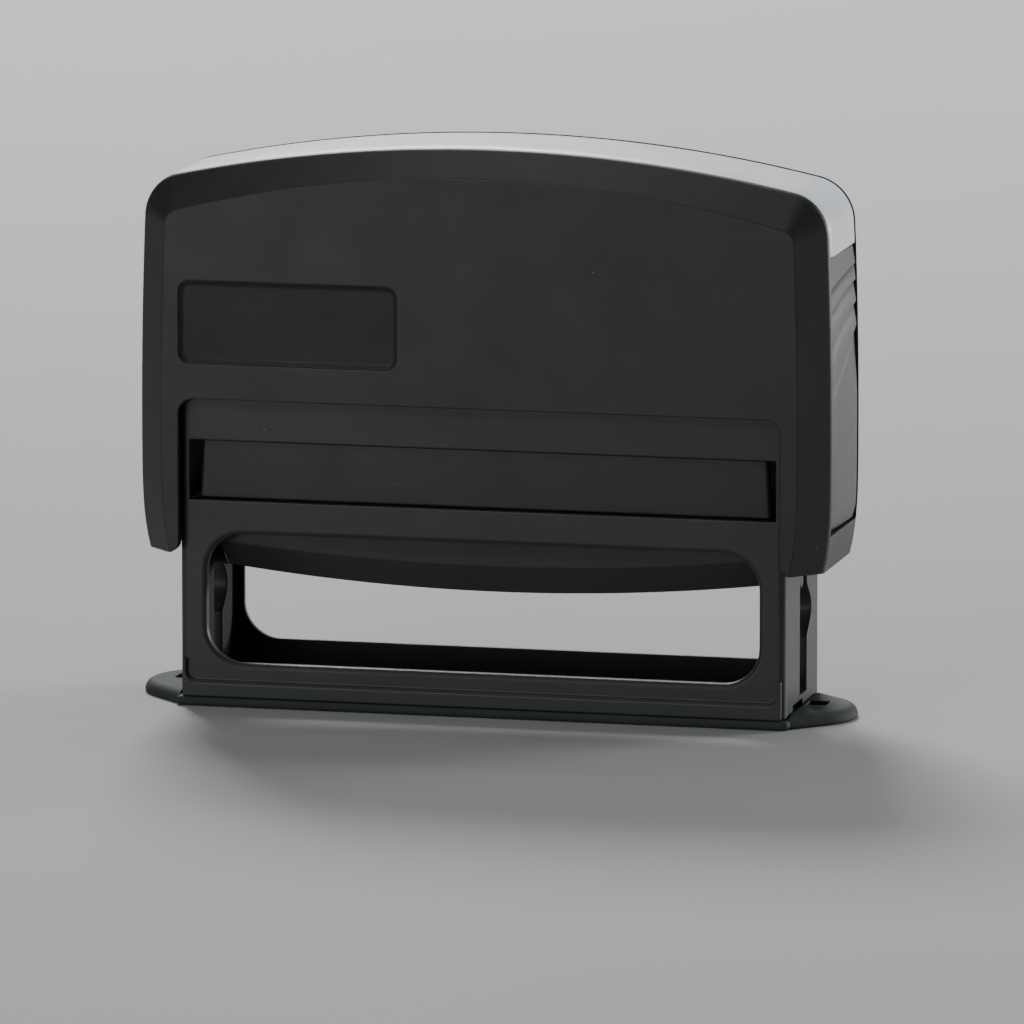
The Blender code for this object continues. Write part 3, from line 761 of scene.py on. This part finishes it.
def grip_skin(side):
    """A grip panel with overlapping swoosh shingles, as a closed slab of columns."""
    low, high = GRIP_LOW, GRIP_HIGH_CORNER.z
    columns = []
    for y in across(16):
        marks = [(high, 0.0)]
        heights = [swoosh(points, y) for points in SWOOSHES]
        reaches = [z - after for z, after in zip(heights, heights[1:])] + [LAST_SWOOSH_REACH]
        for z, depth, reach in zip(heights, SWOOSH_DEPTHS, reaches):
            marks += [(z + RIDGE_HALF_HEIGHT, 0.0), (z - RIDGE_HALF_HEIGHT, depth)]
            for share in (0.25, 0.5, 0.75):
                marks.append((z - reach * share, depth * (1 - share) ** 1.3))
        last = heights[-1] - LAST_SWOOSH_REACH
        marks.append((last, 0.0))
        marks += [(z, 0.0) for z in steps(last, low, 10)[1:]]
        column = []
        for z, depth in marks:
            z = min(z, high)
            end = min(z - low, high - z)
            lip = GRIP_LIP * max(0.0, 1.0 - end / GRIP_LIP_HEIGHT) ** 2
            column.append((side * (half_width(z) - max(fall(y), belly(y)) - lip - depth), y, z))
        columns.append(column)
    rows = len(columns[0])
    points = [p for column in columns for p in column]
    outer = len(points)
    for column in columns:
        points += [(side * (half_width(z) - COVER_THICK), y, z) for _, y, z in column]
    faces = []
    for i in range(len(columns) - 1):
        for j in range(rows - 1):
            a, b = i * rows + j, (i + 1) * rows + j
            faces.append((a, b, b + 1, a + 1))
            faces.append((outer + a, outer + a + 1, outer + b + 1, outer + b))
    for i in range(len(columns) - 1):
        for j in (0, rows - 1):
            a, b = i * rows + j, (i + 1) * rows + j
            faces.append((a, outer + a, outer + b, b))
    for i in (0, len(columns) - 1):
        for j in range(rows - 1):
            a = i * rows + j
            faces.append((a, a + 1, outer + a + 1, outer + a))
    name = "right" if side > 0 else "left"
    item = solid(f"grip_skin_{name}", points, faces)
    return dress(item, grip_grey, "cap", [f"side_grip_{name}"], angle=28.0)


def label_skin():
    """The blank name plate: a shallow dish."""
    area = ((LABEL_LOW.x, LABEL_LOW.z), (LABEL_HIGH.x, LABEL_HIGH.z))
    rim, floor = LABEL_LOW.y + LABEL_RIM, LABEL_LOW.y + LABEL_FLOOR
    layers = []
    for i in range(LABEL_STEPS + 1):
        share = i / LABEL_STEPS
        outline = grown(area, GAP - 0.03 - LABEL_DISH * (1 - share), LABEL_CORNER)
        layers.append((floor - (floor - rim) * share**2.2, outline))
    side = grown(area, GAP - 0.01, LABEL_CORNER)
    layers += [(rim + 0.04, side), (LABEL_HIGH.y, side)]
    return dress(layers_y("label_skin", layers), film, "cap", ["front_label"])


def button_skin():
    """The lock button: a rounded block with finger grooves, on a flange inside the cap."""
    area = around_button(BUTTON_HALF)
    profile = edge_round(BUTTON_ROOT, BUTTON_HIGH.y, BUTTON_EDGE, 5)
    item = layers_y("button_skin", [(y, grown(area, -inset, BUTTON_CORNER)) for y, inset in profile])
    left, right = BUTTON_MID.x - GROOVE_HALF_LENGTH, BUTTON_MID.x + GROOVE_HALF_LENGTH
    for z in steps(-GROOVE_SPREAD, GROOVE_SPREAD, 3):
        low = (BUTTON_HIGH.y - GROOVE_DEPTH, BUTTON_MID.z + z - GROOVE_HALF_HEIGHT)
        high = (BUTTON_HIGH.y + 1.0, BUTTON_MID.z + z + GROOVE_HALF_HEIGHT)
        cut(item, prism_x("groove", rectangle(low, high), left, right))
    flange = rectangle((BUTTON_LOW.x, BUTTON_LOW.z), (BUTTON_HIGH.x, BUTTON_HIGH.z))
    fuse(item, prism_y("flange", flange, BUTTON_LOW.y, BUTTON_LOW.y + FLANGE_THICK))
    return dress(item, button_grey, "lock_button", ["lock_button"])


# Frame --------------------------------------------------------------------------------------------


def skirt_outline(drop):
    """The skirt's outline in X and Z: raised ends and a low middle, drawn in a little by drop."""
    x, z = SKIRT_HALF_WIDTH - SKIRT_LIP, SKIRT_TOP + SKIRT_END
    lean = drop * 0.2
    right = [(SKIRT_HALF_WIDTH, FRAME_LOW - FOOT_DROP), (SKIRT_HALF_WIDTH, SKIRT_END_TOP)]
    right.append((x - lean, SKIRT_END_TOP))
    for a in steps(0.0, -math.pi / 2, 8):
        right.append((x - SKIRT_END + SKIRT_END * math.cos(a) - lean, z + SKIRT_END * math.sin(a) - drop))
    return right + [(-x, z) for x, z in reversed(right)]


def axle_slot():
    """The slot for the axle, in Y and Z, with the pocket behind it where the lug swings round."""
    front, back = -PIN_RADIUS - GAP, SLOT_BACK
    low, high = AXLE_Z - STROKE - PIN_RADIUS - SLOT_BELOW, AXLE_Z + PIN_RADIUS + SLOT_ABOVE
    pocket = []
    for degrees in range(10, 175, 5):
        a = math.radians(degrees)
        y = LUG_ARM * math.sin(a)
        z = AXLE_Z - STROKE * a / math.pi - LUG_ARM * math.cos(a)
        tangent = Vector((LUG_ARM * math.cos(a), LUG_ARM * math.sin(a) - STROKE / math.pi)).normalized()
        reach = LUG_RADIUS + LUG_CLEARANCE
        pocket.append((y - tangent.y * reach, z + tangent.x * reach))
    pocket = [p for p in pocket if p[0] > back]
    outline = [(back, low), (back, pocket[-1][1] - LUG_CLEARANCE), *reversed(pocket)]
    return outline + [(back, pocket[0][1] + LUG_CLEARANCE), (back, high), (front, high), (front, low)]


def frame_skin():
    corner = (FRAME_HALF_WIDTH, FRAME_HALF_DEPTH)
    plan = rounded((-corner[0], -corner[1]), corner, FRAME_CORNER, 6)
    item = prism_z("frame_skin", plan, FRAME_LOW - FOOT_DROP, CAP_TOP - STROKE)
    top = arch(ARCH_RADIUS - BRIDGE_INSET, FRAME_HALF_WIDTH + 5.0, -STROKE - BRIDGE_DROP)
    above = top + [(top[-1][0], CAP_TOP), (top[0][0], CAP_TOP)]
    cut(item, prism_y("top_cutter", above, -OUTSIDE, OUTSIDE))
    inner_x, inner_y = FRAME_HALF_WIDTH - FRAME_WALL, FRAME_HALF_DEPTH - FRAME_WALL
    cut(item, box("carrier_room", (-LINER_X, LINER_X), (-inner_y, inner_y), (0.0, RAIL_Z[1])))
    cut(item, box("cartridge_room", (-inner_x, inner_x), (-inner_y, inner_y), (sum(RAIL_Z) / 2, DECK_LOW)))
    cut(item, box("room_above", (-inner_x, inner_x), (-inner_y, inner_y), (DECK_HIGH, CAP_TOP)))
    chamfer_depth, chamfer_drop = SKIRT_CHAMFER
    rings = [(SKIRT_HALF_DEPTH, chamfer_drop), (SKIRT_HALF_DEPTH - chamfer_depth, 0.0), (inner_y, 0.0)]
    room_y = (-inner_y - 0.5, inner_y + 0.5)
    for side in (-1, 1):
        fuse(item, box("rail", sorted_side(side, RAIL_X, inner_x + 0.5), room_y, RAIL_Z))
        fuse(item, layers_y("skirt", [(side * y, skirt_outline(drop)) for y, drop in rings]))
        fuse(item, prism_z("post", circle((side * SPRING_X, 0.0), POST_RADIUS), DECK_HIGH - 0.5, POST_TOP))
        cut(item, prism_x("slot", axle_slot(), *sorted_side(side, LINER_X - 1.0, FRAME_HALF_WIDTH + 1.0)))
        notch_x = sorted_side(side, LINER_X + 1.0, FRAME_HALF_WIDTH + 1.0)
        cut(item, box("foot_notch", notch_x, FOOT_NOTCH_Y, FOOT_NOTCH_Z))
    flare = edge_round(-FRAME_HALF_DEPTH, FRAME_HALF_DEPTH, WINDOW_ROUND, 7)
    flare = [(-OUTSIDE, WINDOW_ROUND), *flare, (OUTSIDE, WINDOW_ROUND)]
    layers = [(y, grown(WINDOW, inset, WINDOW_CORNER, 12)) for y, inset in flare]
    cut(item, layers_y("window", layers))
    cut(item, prism_y("drawer", rectangle(*DRAWER), -OUTSIDE, OUTSIDE))
    notch = BUTTON_HIGH.x + 0.5
    low = BUTTON_LOW.z - STROKE - 2 * GAP
    cut(item, box("lock_notch", (-notch, notch), (inner_y - 1.0, 12.0), (low, CAP_TOP)))
    return dress(item, frame_black, "frame", ["frame"])


def ear_outline(side):
    """An ear's outline in X and Y: a round nose with two flanks that run back to the plate."""
    centre = EAR_TIP - EAR_NOSE_RADIUS
    root_x, root_y = PLATE_HALF_WIDTH, FRAME_HALF_DEPTH
    reach = math.hypot(root_x - centre, root_y)
    flank = math.atan2(root_y, root_x - centre) - math.acos(EAR_NOSE_RADIUS / reach)
    radius = EAR_NOSE_RADIUS
    nose = [(centre + radius * math.cos(a), radius * math.sin(a)) for a in steps(-flank, flank, 28)]
    return [(side * x, y) for x, y in [(root_x, -root_y), *nose, (root_x, root_y)]]


def plate_skin():
    corner = (PLATE_HALF_WIDTH, PLATE_HALF_DEPTH)
    plan = rounded((-corner[0], -corner[1]), corner, PLATE_CORNER, 6)
    profile = edge_round(0.0, PLATE_THICK, PLATE_EDGE, 5)
    item = layers_z("plate_skin", [(z, offset(plan, -inset)) for z, inset in profile])
    crown = [
        (EAR_THICK - EAR_CROWN + EAR_CROWN * math.sin(a), EAR_CROWN * (1 - math.cos(a)))
        for a in steps(0.0, math.pi / 2, 7)
    ]
    for side in (-1, 1):
        rings = []
        root = side * (FRAME_HALF_WIDTH + GAP)
        for z, inset in [*EAR_FOOT, *crown]:
            ring = offset(ear_outline(side), -inset)
            rings.append((z, [(root, ring[0][1]), *ring[1:-1], (root, ring[-1][1])]))
        fuse(item, layers_z("ear", rings))
        cut(item, box("ear_hole", sorted_side(side, *EAR_HOLE_X), EAR_HOLE_Y, THROUGH_PLATE))
    x, y = PRINT_OPENING
    cut(item, box("print_opening", (-x, x), (-y, y), THROUGH_PLATE))
    return dress(item, base_black, "frame", ["base_plate"])


def spring_skin(side):
    """A smooth compression spring."""
    name = "right" if side > 0 else "left"
    sides, count = 12, 32 * COIL_TURNS
    start, end = SPRING_LOW.z + WIRE_RADIUS, SPRING_HIGH.z - WIRE_RADIUS
    around = [2 * math.pi * k / sides for k in range(sides)]
    rings = []
    for i in range(count + 1):
        share = i / count
        angle = 2 * math.pi * COIL_TURNS * share
        out = Vector((math.cos(angle), math.sin(angle), 0.0))
        middle = Vector((side * SPRING_X, 0.0, start + (end - start) * share)) + out * COIL_RADIUS
        ring = [middle + WIRE_RADIUS * (out * math.cos(a) + Vector((0, 0, math.sin(a)))) for a in around]
        rings.append([tuple(p) for p in ring])
    item = loft(f"spring_skin_{name}", rings)
    dress(item, wire, "frame", [f"return_spring_{name}"], weighted=False)
    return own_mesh(item)


# Carrier and cartridge ----------------------------------------------------------------------------


def carrier_heights(x):
    """The heights of the keel and of the skirt at x."""
    keel = AXLE_Z - KEEL_DEPTH + x * x / (2 * KEEL_RADIUS)
    skirt = AXLE_Z - SKIRT_DEPTH + x * x / (2 * SKIRT_RADIUS)
    return keel, skirt


def carrier_skin():
    top = AXLE_Z + CARRIER_TOP
    rings = []
    for x in steps(-CARRIER_HALF_LENGTH, CARRIER_HALF_LENGTH, 64):
        keel, skirt = carrier_heights(x)
        corner = [(0.0, top), (CARRIER_HALF_WIDTH, top), (CARRIER_HALF_WIDTH, skirt)]
        corner += [(KEEL_HALF_WIDTH, keel), (0.0, keel)]
        half = fillet(corner, CARRIER_ROUNDS, 4)[1:-1]
        rings.append([(x, y, z) for y, z in half + [(-y, z) for y, z in reversed(half)]])
    item = loft("carrier_skin", rings)
    length, width, wall = CAVITY
    rings = []
    for x in steps(-length, length, 24):
        keel, skirt = carrier_heights(x)
        half = [(width, top + 1.0), (width, skirt + wall), (KEEL_HALF_WIDTH / 2, keel + wall)]
        rings.append([(x, y, z) for y, z in half + [(-y, z) for y, z in reversed(half)]])
    cut(item, loft("cavity", rings))
    for side in (-1, 1):
        axle = circle((0.0, AXLE_Z), HUB_RADIUS)
        fuse(item, prism_x("hub", axle, *sorted_side(side, CARRIER_HALF_LENGTH - 0.2, HUB_END)))
        bore = circle((0.0, AXLE_Z), BORE_RADIUS)
        cut(item, prism_x("bore", bore, *sorted_side(side, HUB_END - BORE_DEPTH, HUB_END + 1.0)))
        lug = circle((0.0, AXLE_Z - LUG_ARM), LUG_RADIUS, 28)
        fuse(item, prism_x("lug", lug, *sorted_side(side, CARRIER_HALF_LENGTH - 1.0, FRAME_HALF_WIDTH - 0.1)))
    return dress(item, carrier_black, "die_carrier", ["die_carrier"])


def slab(name, low, high, edge):
    area = ((low.x, low.y), (high.x, high.y))
    profile = edge_round(low.z, high.z, edge, 3)
    return layers_z(name, [(z, grown(area, -inset, SLAB_CORNER)) for z, inset in profile])


def foam_skin():
    item = slab("foam_skin", FOAM_LOW, FOAM_HIGH, SLAB_EDGE)
    return dress(item, foam, "die_carrier", ["die_cushion"])


def die_skin():
    """The blank text plate: a rubber sheet with a raised border."""
    item = slab("die_skin", DIE_LOW, DIE_HIGH, SLAB_EDGE)
    x, y = DIE_HIGH.x - DIE_BORDER, DIE_HIGH.y - DIE_BORDER
    field = grown(((-x, -y), (x, y)), 0.0, DIE_FIELD_CORNER)
    cut(item, prism_z("field", field, DIE_HIGH.z - DIE_FIELD_DEPTH, DIE_HIGH.z + 1.0))
    return dress(item, rubber, "die_carrier", ["rubber_die"])


def tray_skin():
    """The ink cartridge: slanted ends, a well for the felt below and a thumb notch in the rear."""
    front, rear = TRAY_LOW.y, TRAY_HIGH.y
    narrowing = TRAY_TOP_HALF - TRAY_BOTTOM_HALF
    layers = []
    for z, inset in edge_round(TRAY_LOW.z - TRAY_EDGE, TRAY_HIGH.z, TRAY_EDGE, 3):
        half = TRAY_BOTTOM_HALF + narrowing * (z - TRAY_LOW.z) / (TRAY_HIGH.z - TRAY_LOW.z)
        low, high = (-half + inset, front + inset), (half - inset, rear - inset)
        layers.append((z, rounded(low, high, TRAY_CORNER, 4)))
    item = layers_z("tray_skin", layers)
    x, y = FELT_HIGH.x + GAP, FELT_HIGH.y + GAP
    cut(item, box("well", (-x, x), (-y, y), (TRAY_LOW.z - 1.0, FELT_HIGH.z + GAP)))
    middle = (TRAY_LOW.z + TRAY_HIGH.z) / 2
    half, rise, depth = THUMB_NOTCH
    notch = grown(((-half, middle - rise), (half, middle + rise)), 0.0, 1.0)
    cut(item, prism_y("thumb_notch", notch, rear - depth, rear + 1.0))
    return dress(item, tray_black, "ink_cartridge", ["pad_tray"])


def felt_skin():
    item = slab("felt_skin", FELT_LOW, FELT_HIGH, 0.2)
    return dress(item, felt, "ink_cartridge", ["ink_felt"])


cap_skin()
cover_skin()
grip_skin(-1)
grip_skin(1)
label_skin()
button_skin()
frame_skin()
plate_skin()
spring_skin(-1)
spring_skin(1)
carrier_skin()
foam_skin()
die_skin()
tray_skin()
felt_skin()


def redress(node, look):
    """A better material for a CAD node that stays as it is."""
    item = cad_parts[node]
    item.data.materials.clear()
    item.data.materials.append(look)


redress("drive_yoke", inner_grey)
redress("axle_pin_left", ground)
redress("axle_pin_right", ground)
redress("button_spring", ground)


# Stage --------------------------------------------------------------------------------------------


def stage_material(name, colour):
    n = Nodes(name)
    cloud = n.span(n.noise(90.0, 3.0), 0.3, 0.7)
    tone = n.mix(cloud, shade(colour, 0.985), shade(colour, 1.015))
    return n.give(Base_Color=tone, Roughness=0.85, Normal=n.bump(n.noise(1.2, 3.0), 0.15, 0.05))


def backdrop():
    """A floor that sweeps up into a wall behind the stamp."""
    wide, near, far, high, bend = 3000.0, -3000.0, 1600.0, 2000.0, 800.0
    path = [(near, 0.0), (far - bend, 0.0)]
    for a in steps(0.0, math.pi / 2, 24)[1:]:
        path.append((far - bend + bend * math.sin(a), bend - bend * math.cos(a)))
    path.append((far, high))
    points = [(x, y, z - 0.02) for y, z in path for x in (-wide, wide)]
    faces = [(2 * i, 2 * i + 1, 2 * i + 3, 2 * i + 2) for i in range(len(path) - 1)]
    item = solid("backdrop", points, faces)
    item.data.materials.append(stage_material("pale_floor", (0.38, 0.38, 0.38)))
    item.data.shade_smooth()


def light(name, place, target, size, power):
    lamp = bpy.data.lights.new(name, "AREA")
    lamp.shape = "RECTANGLE"
    lamp.size, lamp.size_y = size[0] * MM, size[1] * MM
    lamp.energy = power
    item = bpy.data.objects.new(name, lamp)
    bpy.context.scene.collection.objects.link(item)
    item.location = Vector(place) * MM
    item.rotation_mode = "QUATERNION"
    item.rotation_quaternion = (Vector(target) - Vector(place)).to_track_quat("-Z", "Y")


def camera():
    azimuth, elevation, distance = math.radians(13.516), math.radians(9.516), 1595.0
    target = Vector((1.644, 0.0, 25.303))
    level = math.cos(elevation)
    back = Vector((math.sin(azimuth) * level, -math.cos(azimuth) * level, math.sin(elevation)))
    data = bpy.data.cameras.new("camera")
    data.lens, data.sensor_width = 431.8, 36.0
    data.clip_start, data.clip_end = 0.01, 100.0
    item = bpy.data.objects.new("camera", data)
    bpy.context.scene.collection.objects.link(item)
    item.location = (target + back * distance) * MM
    item.rotation_mode = "QUATERNION"
    item.rotation_quaternion = (-back).to_track_quat("-Z", "Y")
    bpy.context.scene.camera = item


backdrop()
light("key", (-420.0, 1000.0, 900.0), (0.0, 0.0, 40.0), (420.0, 420.0), 20.0)
light("overhead", (0.0, -60.0, 1200.0), (0.0, 0.0, 40.0), (700.0, 700.0), 2.5)
light("low_fill", (-270.0, -740.0, 60.0), (0.0, 0.0, 30.0), (260.0, 120.0), 1.1)
light("high_fill", (-300.0, -850.0, 620.0), (0.0, 0.0, 50.0), (400.0, 200.0), 1.4)
light("side", (900.0, 700.0, 500.0), (0.0, 0.0, 50.0), (500.0, 500.0), 4.0)
light("rim_side", (900.0, 700.0, 90.0), (0.0, 0.0, 50.0), (300.0, 140.0), 8.0)
light("wall_wash", (200.0, 700.0, 1500.0), (200.0, 1500.0, 500.0), (1500.0, 300.0), 4.0)
world = bpy.data.worlds.new("world")
world.use_nodes = True
background = world.node_tree.nodes["Background"]
background.inputs["Color"].default_value = (0.93, 0.95, 1.0, 1.0)
background.inputs["Strength"].default_value = 0.12
bpy.context.scene.world = world
camera()
